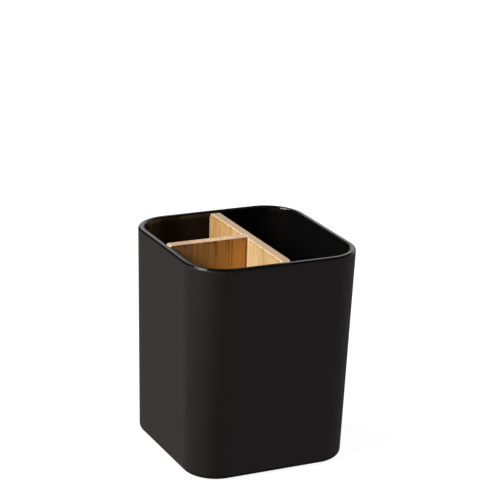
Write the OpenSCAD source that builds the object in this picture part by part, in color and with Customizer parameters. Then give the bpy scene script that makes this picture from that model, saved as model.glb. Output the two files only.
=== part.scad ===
// Square moulded cup with a wooden divider that lifts out and makes three compartments.
// The origin is the middle of the surface that it stands on, +Z is up and the front faces -Y.

/* [Cup] */
// Outside width at the rim
cup_w = 85; // [76:1:120]
// Outside depth at the rim
cup_d = 85; // [76:1:120]
// Height of the moulded body
cup_h = 102.5; // [80:0.5:140]
// Wall, measured level
wall = 3; // [2:0.1:4]
// Floor
floor_t = 3; // [2.4:0.1:5]
// Outside radius of the upright corners at the rim
corner_r = 18.5; // [14:0.5:22]
// Lean of the walls from upright, in degrees
draft = 1.45; // [0.5:0.05:1.8]
// Rounding between the walls and the underside
base_round = 3; // [2:0.1:5]
// Rounding between the walls and the floor inside
floor_round = 3; // [1.5:0.1:4]
// Rounding of the rim's outer edge
rim_round = 1.2; // [0.4:0.1:1.4]
// Rounding of the rim's inner edge
brow_round = 0.8; // [0.2:0.1:1.2]

/* [Guide ribs] */
// Thickness of a rib
rib_t = 1.1; // [0.8:0.1:1.6]
// How far a rib stands out from the wall
rib_depth = 2; // [1.2:0.1:3]
// Distance of the ribs' tops below the rim
rib_drop = 18; // [10:1:30]
// Clearance on each side of a panel between its two ribs
rib_gap = 0.3; // [0.2:0.05:0.6]

/* [Divider] */
// Thickness of the boards
panel_t = 4.6; // [3:0.1:6]
// Middle of the long panel, to the right of the cup's middle
long_x = 1.7; // [-6:0.1:6]
// Middle of the short panel, behind the cup's middle
short_y = 0.4; // [-6:0.1:6]
// Rounding of the long panel's top corners
long_round = 3; // [1:0.1:5]
// Rounding of the short panel's top corner
short_round = 1.4; // [0.6:0.1:5]
// Clearance between the ends of the boards and the walls
end_gap = 0.3; // [0.2:0.05:1]
// Clearance between the boards and the floor
rest_gap = 0.3; // [0.2:0.05:0.6]
// Depth of the groove in the long panel that holds the short one
groove_depth = 1.2; // [0.6:0.1:2]
// Clearance on each side of the short panel in the groove
groove_gap = 0.1; // [0.05:0.05:0.2]

/* [Pads] */
// Diameter of an anti-slip pad
pad_d = 12; // [8:0.5:14]
// How far a pad stands out under the base
pad_proud = 0.5; // [0.4:0.1:1]
// Depth of a pad's seat in the base
pad_seat = 0.9; // [0.5:0.1:1.2]
// Clearance round a pad in its seat
pad_gap = 0.15; // [0.05:0.05:0.3]
// Rounding of a pad's lower edge
pad_round = 0.3; // [0.1:0.05:0.4]

/* [Gate mark] */
// Diameter of the dimple left round the moulding gate
gate_d = 9; // [5:0.5:12]
// Depth of the dimple
gate_deep = 0.6; // [0.3:0.1:1]
// Diameter of the stub in its middle
gate_stub = 2.4; // [1.5:0.1:3]

/* [Hidden] */
$fn = 96;

// Largest share of the wall that one rounding of the rim takes
lip_share = 0.45;

base_z = pad_proud;
floor_z = base_z + floor_t;
rim_z = base_z + cup_h;

// The corners' centres, which stay put as the walls lean
corner_x = cup_w / 2 - corner_r;
corner_y = cup_d / 2 - corner_r;

// Inner faces of the walls at the rim, from the cup's middle
inner_x = cup_w / 2 - wall;
inner_y = cup_d / 2 - wall;

// Roundings of the rim's two edges, which leave some flat between them
lip_r = min(rim_round, wall * lip_share);
brow_r = min(brow_round, wall * lip_share);

panel_low = floor_z + rest_gap;
panel_heel = floor_round + end_gap;
groove_x = long_x - panel_t / 2 + groove_depth;

rib_top = rim_z - rib_drop;
rib_len = (rib_top - floor_z) / cos(draft);
rib_root = wall / 2;
rib_step = panel_t / 2 + rib_gap + rib_t / 2;

// Overrun of every cut past the face that it opens
over = wall;

// Place of a leaning face at height z, from its place at the rim
function lean(at_rim, z) = at_rim - (rim_z - z) * tan(draft);

// Centre, at height z, of a rounding that touches a leaning face from inside
function touch(at_rim, z, r) = [lean(at_rim, z) - r / cos(draft), z];

// Step from that centre to the point where the rounding meets the face
function reach(r) = r * [cos(draft), -sin(draft)];

// Half section of the cup, from a corner's centre outwards
module section() {
    foot = touch(corner_r, base_z + base_round, base_round);
    lip = touch(corner_r, rim_z - lip_r, lip_r);
    heel = touch(corner_r - wall, floor_z + floor_round, floor_round);
    brow = [lean(corner_r - wall, rim_z - brow_r) + brow_r / cos(draft), rim_z - brow_r];
    difference() {
        union() {
            polygon([
                [0, base_z], [foot[0], base_z], foot, foot + reach(base_round),
                lip + reach(lip_r), lip, [lip[0], rim_z],
                [brow[0], rim_z], brow, brow - reach(brow_r),
                heel + reach(floor_round), heel, [heel[0], floor_z], [0, floor_z],
            ]);
            translate(foot) circle(r = base_round);
            translate(lip) circle(r = lip_r);
            translate(brow) circle(r = brow_r);
        }
        translate(heel) circle(r = floor_round);
    }
}

// A wall between two corners, standing on the side that +X faces
module side(span) {
    rotate([90, 0, 0]) linear_extrude(span, center = true) section();
}

module shell() {
    for (sx = [-1, 1], sy = [-1, 1])
        translate([sx * corner_x, sy * corner_y, 0])
            rotate(sx > 0 ? (sy > 0 ? 0 : 270) : (sy > 0 ? 90 : 180))
                rotate_extrude(angle = 90) section();
    for (turn = [0, 180]) {
        rotate(turn) translate([corner_x, 0, 0]) side(2 * corner_y);
        rotate(turn + 90) translate([corner_y, 0, 0]) side(2 * corner_x);
    }
    translate([-corner_x, -corner_y, base_z]) cube([2 * corner_x, 2 * corner_y, floor_t]);
}

// One rib, standing on the plane x = 0 and reaching towards -X, with a round nose and top
module rib() {
    intersection() {
        rotate([90, 0, 0]) linear_extrude(rib_t + 2 * over, center = true) {
            translate([-rib_depth, -over]) square([rib_depth + rib_root, rib_len - rib_depth + over]);
            translate([0, -over]) square([rib_root, rib_len + over]);
            translate([0, rib_len - rib_depth]) circle(r = rib_depth);
        }
        translate([0, 0, -rib_root]) linear_extrude(rib_len + 2 * rib_root) {
            translate([rib_t / 2 - rib_depth, -rib_t / 2])
                square([rib_depth + rib_root - rib_t / 2, rib_t]);
            translate([rib_t / 2 - rib_depth, 0]) circle(d = rib_t);
        }
    }
}

// The two ribs that hold a board's end on the wall that +X faces, at_rim from the middle
module rib_pair(at_rim, middle) {
    for (s = [-1, 1])
        translate([lean(at_rim, floor_z), middle + s * rib_step, floor_z]) rotate([0, draft, 0]) rib();
}

module pad_places() {
    for (sx = [-1, 1], sy = [-1, 1]) translate([sx * corner_x, sy * corner_y, 0]) children();
}

module gate_mark() {
    translate([0, 0, base_z - over]) difference() {
        cylinder(h = over + gate_deep, d = gate_d);
        translate([0, 0, over]) cylinder(h = gate_deep + over, d = gate_stub);
    }
}

module cup() {
    color([0.09, 0.085, 0.085]) difference() {
        union() {
            shell();
            rotate(90) rib_pair(inner_y, -long_x);
            rotate(-90) rib_pair(inner_y, long_x);
            rotate(180) rib_pair(inner_x, -short_y);
        }
        pad_places() translate([0, 0, base_z - over])
            cylinder(h = over + pad_seat, d = pad_d + 2 * pad_gap);
        gate_mark();
    }
}

// Outline of the divider's end that faces +X, up to the wall, from the line x = near;
// corner is the rounding at the top
module board_end(near, at_rim, corner) {
    top = touch(at_rim - end_gap, rim_z - corner, corner);
    low = touch(at_rim - end_gap, panel_low + panel_heel, panel_heel);
    polygon([
        [near, panel_low], [low[0], panel_low], low, low + reach(panel_heel),
        top + reach(corner), top, [top[0], rim_z], [near, rim_z],
    ]);
    translate(top) circle(r = corner);
    translate(low) circle(r = panel_heel);
}

// A board standing on edge, its middle plane on y = 0
module board() {
    rotate([90, 0, 0]) linear_extrude(panel_t, center = true) children();
}

module long_panel() {
    color([0.80, 0.62, 0.40]) difference() {
        translate([long_x, 0, 0]) rotate(90) board() {
            board_end(0, inner_y, long_round);
            mirror([1, 0]) board_end(0, inner_y, long_round);
        }
        translate([groove_x - groove_depth - over, short_y - panel_t / 2 - groove_gap, panel_low - over])
            cube([groove_depth + over, panel_t + 2 * groove_gap, rim_z - panel_low + 2 * over]);
    }
}

module short_panel() {
    color([0.72, 0.52, 0.30]) translate([0, short_y, 0]) board()
        mirror([1, 0]) board_end(-groove_x, inner_x, short_round);
}

module pad(sx, sy) {
    color([0.16, 0.16, 0.17]) translate([sx * corner_x, sy * corner_y, 0]) rotate_extrude() {
        square([pad_d / 2 - pad_round, pad_proud + pad_seat]);
        translate([0, pad_round]) square([pad_d / 2, pad_proud + pad_seat - pad_round]);
        translate([pad_d / 2 - pad_round, pad_round]) circle(r = pad_round);
    }
}

cup();
long_panel();
short_panel();
pad(-1, -1);  // pad_front_left
pad(1, -1);  // pad_front_right
pad(-1, 1);  // pad_back_left
pad(1, 1);  // pad_back_right
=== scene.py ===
import math
from typing import NamedTuple

import bmesh
import bpy
from mathutils import Matrix, Vector

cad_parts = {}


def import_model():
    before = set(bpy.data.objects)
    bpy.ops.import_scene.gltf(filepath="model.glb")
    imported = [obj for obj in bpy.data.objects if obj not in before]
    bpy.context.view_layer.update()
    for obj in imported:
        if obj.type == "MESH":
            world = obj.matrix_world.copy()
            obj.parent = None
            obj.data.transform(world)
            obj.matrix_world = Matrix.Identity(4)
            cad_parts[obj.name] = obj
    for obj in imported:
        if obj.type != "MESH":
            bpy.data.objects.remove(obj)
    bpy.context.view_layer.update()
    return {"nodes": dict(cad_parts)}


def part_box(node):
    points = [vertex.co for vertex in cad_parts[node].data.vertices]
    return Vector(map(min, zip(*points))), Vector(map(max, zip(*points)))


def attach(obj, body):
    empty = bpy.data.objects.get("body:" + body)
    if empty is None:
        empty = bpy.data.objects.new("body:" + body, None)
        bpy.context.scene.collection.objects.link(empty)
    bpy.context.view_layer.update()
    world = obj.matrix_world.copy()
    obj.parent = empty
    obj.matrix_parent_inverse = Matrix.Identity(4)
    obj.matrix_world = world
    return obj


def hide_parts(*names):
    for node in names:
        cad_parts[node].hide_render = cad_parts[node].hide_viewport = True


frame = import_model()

MM = 0.001

# The cup
CUP_LOW, CUP_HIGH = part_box("cup")
RIM_Z = CUP_HIGH.z
CORNER_R = 18.5 * MM
WALL = 3.0 * MM
DRAFT = math.radians(1.45)
RIM_ROUND = 1.2 * MM
CORNER_X = CUP_HIGH.x - CORNER_R
CORNER_Y = CUP_HIGH.y - CORNER_R
INNER_X = CUP_HIGH.x - WALL
INNER_Y = CUP_HIGH.y - WALL

# The boards
LONG_ROUND = 3.0 * MM
SHORT_ROUND = 1.4 * MM
BOARD_HEEL = 3.3 * MM
END_GAP = 0.3 * MM
GROOVE_GAP = 0.1 * MM
BOARD_EDGE = 0.5 * MM
BACK_EDGE = 1.1 * MM
EDGE_STEPS = 4
ARC_STEPS = 8
SHARP = math.radians(40.0)
JOINT_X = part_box("long_panel")[0].x

# Where the cup's matte outside fades out: inside the wall, below the rim and above the underside
MATTE_DEPTH = (-0.55 * WALL, -0.45 * WALL)
MATTE_TOP = (RIM_Z - 0.60 * RIM_ROUND, RIM_Z - 0.46 * RIM_ROUND)
MATTE_FOOT = (CUP_LOW.z + 0.3 * WALL, CUP_LOW.z + 0.5 * WALL)

# Heights over which the rim's polish fades inside, and then the walls' dull upper part
POLISH_FOOT = (RIM_Z - 2.2 * RIM_ROUND, RIM_Z - 1.2 * RIM_ROUND)
DULL_FOOT = (RIM_Z - 32.0 * MM, RIM_Z - 14.0 * MM)

# Nearly all values of a noise lie between these
MOST_NOISE = (0.3, 0.7)

# The cup's plastic: shades of the matte and the glossy finish, and the painted highlight on the tips of the
# texture
MATTE_SHADES = ((0.0100, 0.0044, 0.0043), (0.0122, 0.0058, 0.0056))
GLOSS_SHADES = ((0.0033, 0.0033, 0.0033), (0.0047, 0.0047, 0.0047))
TIP_HIGHLIGHT_TINT = (0.0190, 0.0105, 0.0102)
TIP_HIGHLIGHT_BAND = (0.35, 0.65)
TIP_HIGHLIGHT_SHARE = 0.35
TEXTURE = {"scale": 2600.0, "detail": 3.0, "roughness": 0.6}
CLOUD = {"scale": 22.0}
MATTE_ROUGH = (0.50, 0.62)
RIM_ROUGH = (0.045, 0.07)
INSIDE_ROUGH = 0.25
MIRROR = 0.5
DULL_MIRROR = 0.14
TEXTURE_BUMP = (0.06 * MM, 0.55)

# The pads' foam rubber
RUBBER_SHADES = ((0.022, 0.022, 0.023), (0.050, 0.050, 0.052))
RUBBER_ROUGH = (0.78, 0.92)
CELLS = {"scale": 1400.0, "roughness": 0.6}
RUBBER_BUMP = (0.1 * MM, 0.6)


class Grain(NamedTuple):
    """The look of one bamboo board."""

    across: int  # axis of its width, 0 for X and 1 for Y
    seed: float  # shift of its noises
    dim: tuple  # a dim strip
    bright: tuple  # a bright strip
    fibre: tuple  # dark fibres
    dim_end: tuple  # end grain of a dim strip
    bright_end: tuple  # end grain of a bright strip
    specks: float  # strength of its specks
    strips: tuple  # where each strip starts, in mm from the middle, and its tone, 0 dim and 1 bright


class Mark(NamedTuple):
    """A pattern that darkens the bamboo."""

    noise: dict  # its noise
    band: tuple  # from the noise's value where it starts to the one where it is full
    share: float  # how much of it shows


LONG_GRAIN = Grain(
    across=1, seed=3.0,
    dim=(0.62, 0.31, 0.095), bright=(0.94, 0.67, 0.325), fibre=(0.46, 0.25, 0.080),
    dim_end=(0.50, 0.40, 0.31), bright_end=(0.68, 0.50, 0.325),
    specks=0.35,
    strips=(
        (-45.0, 0.70), (-33.5, 0.85), (-26.0, 0.60), (-18.5, 0.75), (-10.4, 0.82), (-2.5, 0.62),
        # The last two strips, towards the back end, are dark: partly the bamboo's own tone, partly painted
        # shadow over the board's far end
        (5.2, 0.50), (12.4, 0.34), (18.0, 0.55), (25.0, 0.15), (31.5, 0.05),
    ),
)
SHORT_GRAIN = Grain(
    across=0, seed=7.0,
    # Its face colours are darker and more saturated than the long board's: partly its own tone, partly
    # painted warm shade of its less lit front face
    dim=(0.50, 0.26, 0.105), bright=(0.86, 0.39, 0.084), fibre=(0.32, 0.135, 0.028),
    # The dim end-grain tint is darkened in part as painted shadow on the top's left end
    dim_end=(0.65, 0.44, 0.27), bright_end=(0.86, 0.59, 0.375),
    specks=0.7,
    # The strips run from dark at the left end, by the cup's wall, to bright by the joint: partly the
    # bamboo's own tones, partly painted shade by the wall and painted bounce light near the long board
    strips=((-45.0, 0.05), (-28.0, 0.66), (-20.3, 1.05), (-11.2, 0.94), (-5.6, 0.96)),
)

# Half the width that the strips are laid out over, in mm
STRIP_REACH = 45.0

# Marks on the faces, stretched along the upright grain
FINE = Mark(
    noise={"scale": 2600.0, "detail": 3.0, "roughness": 0.6, "stretch": (1.0, 1.0, 0.02)},
    band=(0.50, 0.72), share=0.40,
)
STREAK = Mark(
    noise={"scale": 1300.0, "roughness": 0.55, "stretch": (1.0, 1.0, 0.03)},
    band=(0.50, 0.70), share=0.65,
)

# Dark specks just under the top edge
SPECK = {"scale": 700.0, "stretch": (1.0, 1.0, 0.5)}
SPECK_BAND = (0.50, 0.62)
SPECK_TINT = (0.22, 0.09, 0.02)
SPECK_FOOT = (RIM_Z - 2.4 * MM, RIM_Z - 0.5 * MM)

# Marks on the end grain: pores, and rings drawn out along the board, by the axis of its width
PORE = Mark(
    noise={"scale": 1500.0, "roughness": 0.55, "stretch": (1.0, 1.0, 0.1)},
    band=(0.47, 0.65), share=0.34,
)
RING = Mark(noise={"scale": 420.0}, band=(0.45, 0.70), share=0.30)
RING_STRETCH = ((0.25, 1.0, 1.0), (1.0, 0.25, 1.0))

# Broad and patchy changes of tone over the faces, and how far they swing
BROAD = {"scale": 150.0, "stretch": (1.0, 1.0, 0.12)}
PATCH = {"scale": 60.0, "detail": 3.0, "stretch": (1.0, 1.0, 0.7)}
BROAD_SWING = 0.25
PATCH_SWING = 0.16

# Pale edges, partly wear and partly a painted highlight along the rounded edges, by the largest part of the
# face's direction, broken up by chips
WORN_HIGHLIGHT_TINT = (1.00, 0.84, 0.58)
WORN_HIGHLIGHT_BAND = (0.82, 0.985)
WORN_HIGHLIGHT_SHARES = (0.85, 0.1)
CHIP = {"scale": 900.0, "detail": 1.0}
CHIP_BAND = (0.48, 0.66)

# Small shifts that keep one noise from following another
NUDGE_ACROSS = 0.2
NUDGE_UP = 0.3

# The end grain shows where a face points up or down by this much
END_BAND = (0.55, 0.85)

# The bamboo's surface
BAMBOO_ROUGH = (0.56, 0.74)
BAMBOO_MIRROR = 0.25
BAMBOO_BUMP = (0.12 * MM, 0.5)

# The lines beside the glued joint: a dark one of glue and painted shade in the joint, and a pale one along
# it
GLUE_SHADE_TINT = (0.20, 0.07, 0.012)
GLUE_SHADE_WIDTH = 1.35 * MM
GLUE_SHADE_SHARE = 0.9
PALE_TINT = (0.97, 0.73, 0.44)
PALE_REACH = (2.5 * MM, 1.2 * MM)
PALE_SHARE = 0.6
SHORT_GLUE_SHADE_WIDTH = 0.4 * MM
SHORT_GLUE_SHADE_SHARE = 0.8
LINE_FADE = 0.3 * MM
LINE_DEPTH = 0.5 * MM

# The photograph's view: line of sight, roll, and where it passes the cup's middle
VIEW_AZIMUTH = math.radians(26.23)
VIEW_ELEVATION = math.radians(18.144)
VIEW_ROLL = math.radians(2.082)
VIEW_DISTANCE = 0.92988
VIEW_SHIFT = (-0.00101, 0.04608)
VIEW_MIDDLE_Z = 0.0525
LENS = 148.0
SENSOR = 36.0
CLIP = (0.05, 50.0)

# The card of light behind the cup, by x / y for its sides and the stand's, and z for the rest
ROOM_LIGHT = 0.03
CARD_LEFT = (0.0, 0.12)
CARD_RIGHT = (0.5, 2.2)
CARD_FOOT = (-0.36, -0.30)
CARD_TOP = (0.47, 0.53)
CARD_STEP = (0.15, 0.35)
CARD_LEVELS = (0.62, 1.04)
STAND_LEFT = (0.430, 0.476)
STAND_RIGHT = (0.518, 0.530)
SMALLEST_Y = 0.01

# Glows of the table round the cup, up to the horizon: degrees from +X towards +Y, and strength
GLOWS = ((119, 0.41), (165, 0.14), (210, 0.25), (300, 0.41), (0, 0.18))
GLOW_DROP = math.radians(-20)
GLOW_SPREAD = (0.75, 0.97)
HORIZON = (-0.25, -0.05)

# The floor
FLOOR_RADIUS = 6.0
FLOOR_SIDES = 96
FLOOR_SHADE = (0.30, 0.30, 0.30)
FLOOR_ROUGH = 0.9
FLOOR_GLOW = 0.92
WHITE = (1.0, 1.0, 1.0)

# The lamps: direction from the cup, distance, width and height, power, and if gloss mirrors it
LAMPS = {
    "key": ((-0.99, -0.16, 0.62), 1.2, (0.50, 0.45), 13.4, True),
    "top": ((-0.31, 0.355, 0.88), 1.2, (0.40, 0.40), 4.9, True),
    "right_fill": ((0.99, 0.09, 0.10), 1.6, (1.60, 0.60), 4.0, True),
    "board_fill": ((0.85, 0.15, 0.50), 1.6, (1.00, 0.80), 5.0, False),
}
LAMP_AIM_Z = 0.07

# The numbers of the mix node's colour sockets
MIX_A = 6
MIX_B = 7
MIX_RESULT = 2


class Graph:
    """Builds the nodes of one material or of the world; a colour is red, green and blue."""

    def __init__(self, tree):
        self.tree = tree
        tree.nodes.clear()

    def node(self, kind, **settings):
        made = self.tree.nodes.new(kind)
        for name, value in settings.items():
            setattr(made, name, value)
        return made

    def feed(self, socket, value):
        """Links value to the socket, or sets it there if it is a plain number or colour."""
        if isinstance(value, bpy.types.NodeSocket):
            self.tree.links.new(value, socket)
        elif socket.type == "RGBA":
            socket.default_value = (*value, 1.0)
        else:
            socket.default_value = value

    def math(self, operation, a, b=0.0):
        made = self.node("ShaderNodeMath", operation=operation)
        self.feed(made.inputs[0], a)
        self.feed(made.inputs[1], b)
        return made.outputs[0]

    def add(self, a, b):
        return self.math("ADD", a, b)

    def times(self, a, b):
        return self.math("MULTIPLY", a, b)

    def less(self, a, b):
        return self.math("SUBTRACT", a, b)

    def unsigned(self, value):
        """The value without its sign."""
        return self.math("ABSOLUTE", value)

    def greater(self, a, b):
        """The greater of the two."""
        return self.math("MAXIMUM", a, b)

    def dot(self, vector, way):
        made = self.node("ShaderNodeVectorMath", operation="DOT_PRODUCT")
        self.feed(made.inputs[0], vector)
        self.feed(made.inputs[1], Vector(way).normalized())
        return made.outputs["Value"]

    def smooth(self, value, low, high):
        """0 below low, 1 above high, and smooth between."""
        made = self.node("ShaderNodeMapRange", interpolation_type="SMOOTHSTEP")
        self.feed(made.inputs["Value"], value)
        made.inputs["From Min"].default_value = low
        made.inputs["From Max"].default_value = high
        return made.outputs["Result"]

    def below(self, value, low, high):
        """1 below low, 0 above high, and smooth between."""
        return self.less(1.0, self.smooth(value, low, high))

    def band(self, value, rise, fall):
        """1 between the two stretches, and smooth over each."""
        return self.times(self.smooth(value, *rise), self.below(value, *fall))

    def remap(self, value, low, high, to_low, to_high):
        """From to_low at low to to_high at high, in a straight line, and level outside."""
        made = self.node("ShaderNodeMapRange")
        self.feed(made.inputs["Value"], value)
        made.inputs["From Min"].default_value = low
        made.inputs["From Max"].default_value = high
        made.inputs["To Min"].default_value = to_low
        made.inputs["To Max"].default_value = to_high
        return made.outputs["Result"]

    def mix(self, factor, a, b):
        """Between two colours."""
        made = self.node("ShaderNodeMix", data_type="RGBA")
        self.feed(made.inputs["Factor"], factor)
        self.feed(made.inputs[MIX_A], a)
        self.feed(made.inputs[MIX_B], b)
        return made.outputs[MIX_RESULT]

    def blend(self, factor, a, b):
        """Between two numbers."""
        return self.add(a, self.times(factor, self.less(b, a)))

    def noise(
        self, place, scale, detail=2.0, roughness=0.5, stretch=(1.0, 1.0, 1.0), shift=(0.0, 0.0, 0.0),
    ):
        spread = self.node("ShaderNodeMapping")
        self.feed(spread.inputs["Vector"], place)
        spread.inputs["Scale"].default_value = stretch
        spread.inputs["Location"].default_value = shift
        made = self.node("ShaderNodeTexNoise", noise_dimensions="3D")
        self.feed(made.inputs["Vector"], spread.outputs[0])
        made.inputs["Scale"].default_value = scale
        made.inputs["Detail"].default_value = detail
        made.inputs["Roughness"].default_value = roughness
        return made.outputs["Fac"]

    def steps(self, value, spans, reach):
        """The number of the span that value is in; spans and reach, the end of the scale, are in mm."""
        made = self.node("ShaderNodeValToRGB")
        self.feed(made.inputs[0], self.remap(value, -reach * MM, reach * MM, 0.0, 1.0))
        ramp = made.color_ramp
        ramp.interpolation = "CONSTANT"
        while len(ramp.elements) < len(spans):
            ramp.elements.new(1.0)
        for element, (start, number) in zip(ramp.elements, spans):
            element.position = (start + reach) / (2.0 * reach)
            element.color = (number, number, number, 1.0)
        return made.outputs[0]

    def bump(self, height, distance, strength):
        made = self.node("ShaderNodeBump")
        self.feed(made.inputs["Height"], height)
        made.inputs["Distance"].default_value = distance
        made.inputs["Strength"].default_value = strength
        return made.outputs["Normal"]

    def place(self):
        return self.node("ShaderNodeTexCoord").outputs["Object"]

    def parts(self, vector):
        made = self.node("ShaderNodeSeparateXYZ")
        self.feed(made.inputs[0], vector)
        return made.outputs


def material(name):
    made = bpy.data.materials.new(name)
    made.use_nodes = True
    graph = Graph(made.node_tree)
    surface = graph.node("ShaderNodeBsdfPrincipled")
    end = graph.node("ShaderNodeOutputMaterial")
    graph.feed(end.inputs["Surface"], surface.outputs[0])
    return made, graph, surface.inputs


def cup_outside(graph, place):
    """1 on the outside of the cup below the rim and underneath, 0 on the rim and inside."""
    x, y, z = graph.parts(place)
    # The reach is how far the spot lies out from the square that joins the corners' centres
    over_x = graph.less(graph.unsigned(x), CORNER_X)
    over_y = graph.less(graph.unsigned(y), CORNER_Y)
    past_x = graph.greater(over_x, 0.0)
    past_y = graph.greater(over_y, 0.0)
    across = graph.math("SQRT", graph.add(graph.times(past_x, past_x), graph.times(past_y, past_y)))
    reach = graph.add(across, graph.math("MINIMUM", graph.greater(over_x, over_y), 0.0))
    lean = graph.times(graph.less(RIM_Z, z), math.tan(DRAFT))
    outer = graph.smooth(graph.less(graph.add(reach, lean), CORNER_R), *MATTE_DEPTH)
    return graph.greater(graph.times(outer, graph.below(z, *MATTE_TOP)), graph.below(z, *MATTE_FOOT))


def cup_plastic():
    """Near-black plastic: fine spark-eroded texture outside, polished on the rim and glossy inside."""
    made, graph, sockets = material("cup_plastic_finish")
    place = graph.place()
    height = graph.parts(place)[2]
    outside = cup_outside(graph, place)
    texture = graph.noise(place, **TEXTURE)
    cloud = graph.noise(place, **CLOUD)
    matte = graph.mix(cloud, *MATTE_SHADES)
    # The texture's peaks are painted lighter: a painted highlight on the matte outside
    matte = graph.mix(graph.remap(texture, *TIP_HIGHLIGHT_BAND, 0.0, TIP_HIGHLIGHT_SHARE), matte, TIP_HIGHLIGHT_TINT)
    graph.feed(sockets["Base Color"], graph.mix(outside, graph.mix(cloud, *GLOSS_SHADES), matte))
    under_polish = graph.below(height, *POLISH_FOOT)
    rim_rough = graph.remap(cloud, *MOST_NOISE, *RIM_ROUGH)
    gloss_rough = graph.blend(under_polish, rim_rough, INSIDE_ROUGH)
    matte_rough = graph.remap(texture, *MOST_NOISE, *MATTE_ROUGH)
    graph.feed(sockets["Roughness"], graph.blend(outside, gloss_rough, matte_rough))
    upper = graph.times(under_polish, graph.smooth(height, *DULL_FOOT))
    dull = graph.times(upper, graph.less(1.0, outside))
    graph.feed(sockets["Specular IOR Level"], graph.blend(dull, MIRROR, DULL_MIRROR))
    graph.feed(sockets["Normal"], graph.bump(graph.times(texture, outside), *TEXTURE_BUMP))
    return made


def bamboo_strips(graph, place, grain):
    """The tone of the strip that the spot is in."""
    return graph.steps(graph.parts(place)[grain.across], grain.strips, STRIP_REACH)


def marked(graph, base, pattern, mark, tint):
    """The base colour with the mark on it, where its pattern is strong."""
    return graph.mix(graph.times(graph.smooth(pattern, *mark.band), mark.share), base, tint)


def bamboo_face(graph, place, grain, strip):
    """Colour and height of the long grain."""
    seed = grain.seed
    fine = graph.noise(place, **FINE.noise, shift=(seed, seed, 0.0))
    streak = graph.noise(place, **STREAK.noise, shift=(0.0, seed, NUDGE_UP))
    broad = graph.noise(place, **BROAD, shift=(seed, NUDGE_ACROSS, 0.0))
    patch = graph.noise(place, **PATCH, shift=(seed, 0.0, 0.0))
    tone = graph.add(strip, graph.remap(broad, *MOST_NOISE, -BROAD_SWING, BROAD_SWING))
    tone = graph.add(tone, graph.remap(patch, *MOST_NOISE, -PATCH_SWING, PATCH_SWING))
    face = graph.mix(tone, grain.dim, grain.bright)
    face = marked(graph, face, streak, STREAK, grain.fibre)
    face = marked(graph, face, fine, FINE, grain.fibre)
    return face, graph.add(graph.times(fine, 0.5), graph.times(streak, 0.5))


def bamboo_specks(graph, place, grain, face):
    """The face with dark specks just under its top edge."""
    specks = graph.noise(place, **SPECK, shift=(NUDGE_ACROSS, grain.seed, 0.0))
    under_top = graph.smooth(graph.parts(place)[2], *SPECK_FOOT)
    strength = graph.times(graph.times(graph.smooth(specks, *SPECK_BAND), under_top), grain.specks)
    return graph.mix(strength, face, SPECK_TINT)


def bamboo_lines(graph, place, grain, face, lines):
    """The face with upright lines left of the joint, each given as start, stop, share and tint."""
    spot = graph.parts(place)
    left = graph.below(spot[0], JOINT_X, JOINT_X + LINE_DEPTH)
    for start, stop, share, tint in lines:
        line = graph.band(spot[grain.across], (start, start + LINE_FADE), (stop - LINE_FADE, stop))
        face = graph.mix(graph.times(graph.times(line, left), share), face, tint)
    return face


def bamboo_end(graph, place, grain, strip):
    """Colour of the end grain, with its rings and pores."""
    pores = graph.noise(place, **PORE.noise, shift=(grain.seed, 0.0, 0.0))
    rings = graph.noise(place, **RING.noise, stretch=RING_STRETCH[grain.across])
    end = graph.mix(strip, grain.dim_end, grain.bright_end)
    end = marked(graph, end, rings, RING, grain.dim)
    return marked(graph, end, pores, PORE, grain.fibre)


def bamboo(name, grain, lines):
    """Bamboo board of glued upright strips, with end grain on top and pale edges of wear and painted
    highlight.
    """
    made, graph, sockets = material(name)
    place = graph.place()
    strip = bamboo_strips(graph, place, grain)
    face, height = bamboo_face(graph, place, grain, strip)
    face = bamboo_specks(graph, place, grain, face)
    face = bamboo_lines(graph, place, grain, face, lines)
    end = bamboo_end(graph, place, grain, strip)
    normal = graph.parts(graph.node("ShaderNodeNewGeometry").outputs["Normal"])
    flat = [graph.unsigned(part) for part in normal]
    most = graph.greater(graph.greater(flat[0], flat[1]), flat[2])
    skin = graph.mix(graph.smooth(flat[2], *END_BAND), face, end)
    chips = graph.noise(place, **CHIP, shift=(0.0, 0.0, grain.seed))
    # Edges painted pale: partly wear, partly a painted highlight
    worn_highlight = graph.times(graph.below(most, *WORN_HIGHLIGHT_BAND), graph.remap(chips, *CHIP_BAND, *WORN_HIGHLIGHT_SHARES))
    graph.feed(sockets["Base Color"], graph.mix(worn_highlight, skin, WORN_HIGHLIGHT_TINT))
    graph.feed(sockets["Roughness"], graph.remap(height, *MOST_NOISE, *BAMBOO_ROUGH))
    graph.feed(sockets["Specular IOR Level"], BAMBOO_MIRROR)
    graph.feed(sockets["Normal"], graph.bump(height, *BAMBOO_BUMP))
    return made


def pad_rubber():
    """Dark foam rubber with a fine closed-cell skin."""
    made, graph, sockets = material("pad_rubber_finish")
    cells = graph.noise(graph.place(), **CELLS)
    graph.feed(sockets["Base Color"], graph.mix(cells, *RUBBER_SHADES))
    graph.feed(sockets["Roughness"], graph.remap(cells, *MOST_NOISE, *RUBBER_ROUGH))
    graph.feed(sockets["Normal"], graph.bump(cells, *RUBBER_BUMP))
    return made


def arc(center, radius, start, end):
    """Points on an arc round center, with the angles in degrees."""
    turns = [math.radians(start + (end - start) * i / ARC_STEPS) for i in range(ARC_STEPS + 1)]
    return [(center[0] + radius * math.cos(t), center[1] + radius * math.sin(t)) for t in turns]


def board_end(at_rim, low, high, corner):
    """Points of the end that leans with the wall, from the bottom up; at_rim is its reach at the rim."""
    lean = math.degrees(DRAFT)

    def center(z, radius):
        return (at_rim - (RIM_Z - z) * math.tan(DRAFT) - radius / math.cos(DRAFT), z)

    heel = arc(center(low + BOARD_HEEL, BOARD_HEEL), BOARD_HEEL, -90.0, -lean)
    return heel + arc(center(high - corner, corner), corner, -lean, 90.0)


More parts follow.
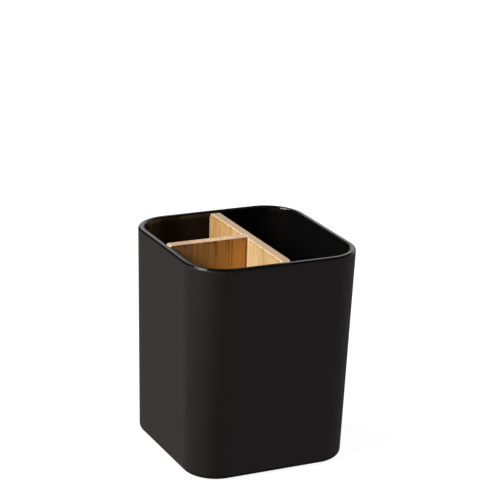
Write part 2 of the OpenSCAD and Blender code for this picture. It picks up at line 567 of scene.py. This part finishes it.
def placed(name, shape):
    """A new object in the scene with that shape."""
    mesh = bpy.data.meshes.new(name)
    shape.to_mesh(mesh)
    shape.free()
    return linked(name, mesh)


def linked(name, data):
    """A new object in the scene with that mesh, lamp or camera."""
    made = bpy.data.objects.new(name, data)
    bpy.context.scene.collection.objects.link(made)
    return made


def prism(name, points, axis, start, end):
    """A solid of that upright outline, from start to end along the axis, 0 for X and 1 for Y."""
    shape = bmesh.new()

    def side(along):
        spots = [(along, across, z) if axis == 0 else (across, along, z) for across, z in points]
        return [shape.verts.new(spot) for spot in spots]

    near = side(start)
    far = side(end)
    shape.faces.new(near)
    shape.faces.new(far)
    for i in range(len(points)):
        j = (i + 1) % len(points)
        shape.faces.new((near[i], near[j], far[j], far[i]))
    bmesh.ops.recalc_face_normals(shape, faces=shape.faces)
    return placed(name, shape)


def settle(piece):
    """Applies the modifiers."""
    bpy.context.view_layer.update()
    mesh = bpy.data.meshes.new_from_object(piece.evaluated_get(bpy.context.evaluated_depsgraph_get()))
    piece.modifiers.clear()
    piece.data = mesh


def cut(piece, tool):
    taken = piece.modifiers.new("cut", "BOOLEAN")
    taken.operation = "DIFFERENCE"
    taken.solver = "EXACT"
    taken.object = tool
    settle(piece)
    bpy.data.objects.remove(tool)


def soften(piece, is_broad):
    """Rounds the sharp edges, the broad ones more than the rest, and keeps the flat faces flat."""
    shape = bmesh.new()
    shape.from_mesh(piece.data)
    weight = shape.edges.layers.float.new("bevel_weight_edge")
    for edge in shape.edges:
        if edge.calc_face_angle() > SHARP:
            middle = (edge.verts[0].co + edge.verts[1].co) / 2
            edge[weight] = 1.0 if is_broad(middle) else BOARD_EDGE / BACK_EDGE
    shape.to_mesh(piece.data)
    shape.free()
    for face in piece.data.polygons:
        face.use_smooth = True
    rounding = piece.modifiers.new("soften", "BEVEL")
    rounding.width = BACK_EDGE
    rounding.segments = EDGE_STEPS
    rounding.limit_method = "WEIGHT"
    rounding.harden_normals = True
    settle(piece)


def finish_board(piece, node, paint, is_broad=lambda middle: False):
    soften(piece, is_broad)
    piece.data.materials.append(paint)
    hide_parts(node)
    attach(piece, "divider")


def long_board():
    low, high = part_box("long_panel")
    end = board_end(INNER_Y - END_GAP, low.z, high.z, LONG_ROUND)
    outline = end + [(-across, z) for across, z in reversed(end)]
    piece = prism("long_board", outline, 0, low.x, high.x)
    tongue_low, tongue_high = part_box("short_panel")
    near = tongue_low.y - GROOVE_GAP
    far = tongue_high.y + GROOVE_GAP
    bottom = low.z - WALL
    top = high.z + WALL
    slot = [(near, bottom), (far, bottom), (far, top), (near, top)]
    cut(piece, prism("groove", slot, 0, low.x - WALL, tongue_high.x))
    lines = (
        (near - PALE_REACH[0], near - PALE_REACH[1], PALE_SHARE, PALE_TINT),
        # Dark line of glue and painted shade where the short board meets this one
        (near - GLUE_SHADE_WIDTH, near, GLUE_SHADE_SHARE, GLUE_SHADE_TINT),
    )
    finish_board(piece, "long_panel", bamboo("bamboo_long", LONG_GRAIN, lines))


def short_board():
    low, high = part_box("short_panel")
    end = [(-across, z) for across, z in board_end(INNER_X - END_GAP, low.z, high.z, SHORT_ROUND)]
    outline = end + [(high.x, high.z), (high.x, low.z)]
    piece = prism("short_board", outline, 1, low.y, high.y)
    # Dark line of glue and painted shade at the joint's edge
    lines = ((JOINT_X - SHORT_GLUE_SHADE_WIDTH, high.x, SHORT_GLUE_SHADE_SHARE, GLUE_SHADE_TINT),)

    def is_back_top(middle):
        return middle.y > high.y - MM and middle.z > high.z - MM

    finish_board(piece, "short_panel", bamboo("bamboo_short", SHORT_GRAIN, lines), is_back_top)


def dress(node, finish):
    for spot in frame["nodes"][node].material_slots:
        spot.material = finish


def camera():
    turn = Matrix.Rotation(-VIEW_AZIMUTH, 4, "Z")
    tilt = Matrix.Rotation(math.pi / 2 - VIEW_ELEVATION, 4, "X")
    aim = turn @ tilt @ Matrix.Rotation(VIEW_ROLL, 4, "Z")
    data = bpy.data.cameras.new("camera")
    data.lens = LENS
    data.sensor_width = SENSOR
    data.clip_start, data.clip_end = CLIP
    seen = linked("camera", data)
    back = aim.to_3x3() @ Vector((*VIEW_SHIFT, VIEW_DISTANCE))
    seen.matrix_world = Matrix.Translation(Vector((0.0, 0.0, VIEW_MIDDLE_Z)) + back) @ aim
    bpy.context.scene.camera = seen


def softbox(name, toward, distance, size, power, mirrored):
    """A rectangular light in the direction toward, aimed at the upper half of the cup."""
    data = bpy.data.lights.new(name, "AREA")
    data.shape = "RECTANGLE"
    data.size, data.size_y = size
    data.energy = power
    lamp = linked(name, data)
    away = Vector(toward).normalized()
    lamp.location = Vector((0.0, 0.0, LAMP_AIM_Z)) + away * distance
    lamp.rotation_euler = away.to_track_quat("Z", "Y").to_euler()
    lamp.visible_glossy = mirrored


def card(graph, x, y, z):
    """A soft card behind the cup on the right, split by a dark stand, with its foot dimmer than its top."""
    slope = graph.math("DIVIDE", x, graph.greater(y, SMALLEST_Y))
    beside = graph.band(slope, CARD_LEFT, CARD_RIGHT)
    upright = graph.band(z, CARD_FOOT, CARD_TOP)
    stand = graph.band(slope, STAND_LEFT, STAND_RIGHT)
    level = graph.times(graph.remap(z, *CARD_STEP, *CARD_LEVELS), graph.less(1.0, stand))
    return graph.times(graph.times(beside, upright), level)


def world():
    """White to the eye; what lights the cup is dim, apart from the card behind it and the table's glows."""
    made = bpy.data.worlds.new("studio")
    made.use_nodes = True
    bpy.context.scene.world = made
    graph = Graph(made.node_tree)
    way = graph.node("ShaderNodeTexCoord").outputs["Generated"]
    x, y, z = graph.parts(way)
    total = graph.add(card(graph, x, y, z), ROOM_LIGHT)
    table = graph.below(z, *HORIZON)
    for degrees, strength in GLOWS:
        turn = math.radians(degrees)
        toward = (math.cos(turn), math.sin(turn), math.tan(GLOW_DROP))
        glow = graph.times(graph.smooth(graph.dot(way, toward), *GLOW_SPREAD), table)
        total = graph.add(total, graph.times(glow, strength))
    seen = graph.node("ShaderNodeLightPath").outputs["Is Camera Ray"]
    back = graph.node("ShaderNodeBackground")
    graph.feed(back.inputs["Color"], WHITE)
    graph.feed(back.inputs["Strength"], graph.greater(total, seen))
    end = graph.node("ShaderNodeOutputWorld")
    graph.feed(end.inputs["Surface"], back.outputs[0])


def floor():
    shape = bmesh.new()
    bmesh.ops.create_circle(shape, cap_ends=True, segments=FLOOR_SIDES, radius=FLOOR_RADIUS)
    made = placed("floor", shape)
    paint, graph, sockets = material("floor_white")
    graph.feed(sockets["Base Color"], FLOOR_SHADE)
    graph.feed(sockets["Roughness"], FLOOR_ROUGH)
    graph.feed(sockets["Emission Color"], WHITE)
    seen = graph.node("ShaderNodeLightPath").outputs["Is Camera Ray"]
    graph.feed(sockets["Emission Strength"], graph.times(seen, FLOOR_GLOW))
    made.data.materials.append(paint)
    made.visible_diffuse = False
    made.visible_glossy = False
    made.visible_shadow = False


bpy.context.scene.view_settings.view_transform = "Standard"
camera()
world()
floor()
for name, lamp in LAMPS.items():
    softbox(name, *lamp)
dress("cup", cup_plastic())
long_board()
short_board()
rubber = pad_rubber()
for pad in ("pad_front_left", "pad_front_right", "pad_back_left", "pad_back_right"):
    dress(pad, rubber)
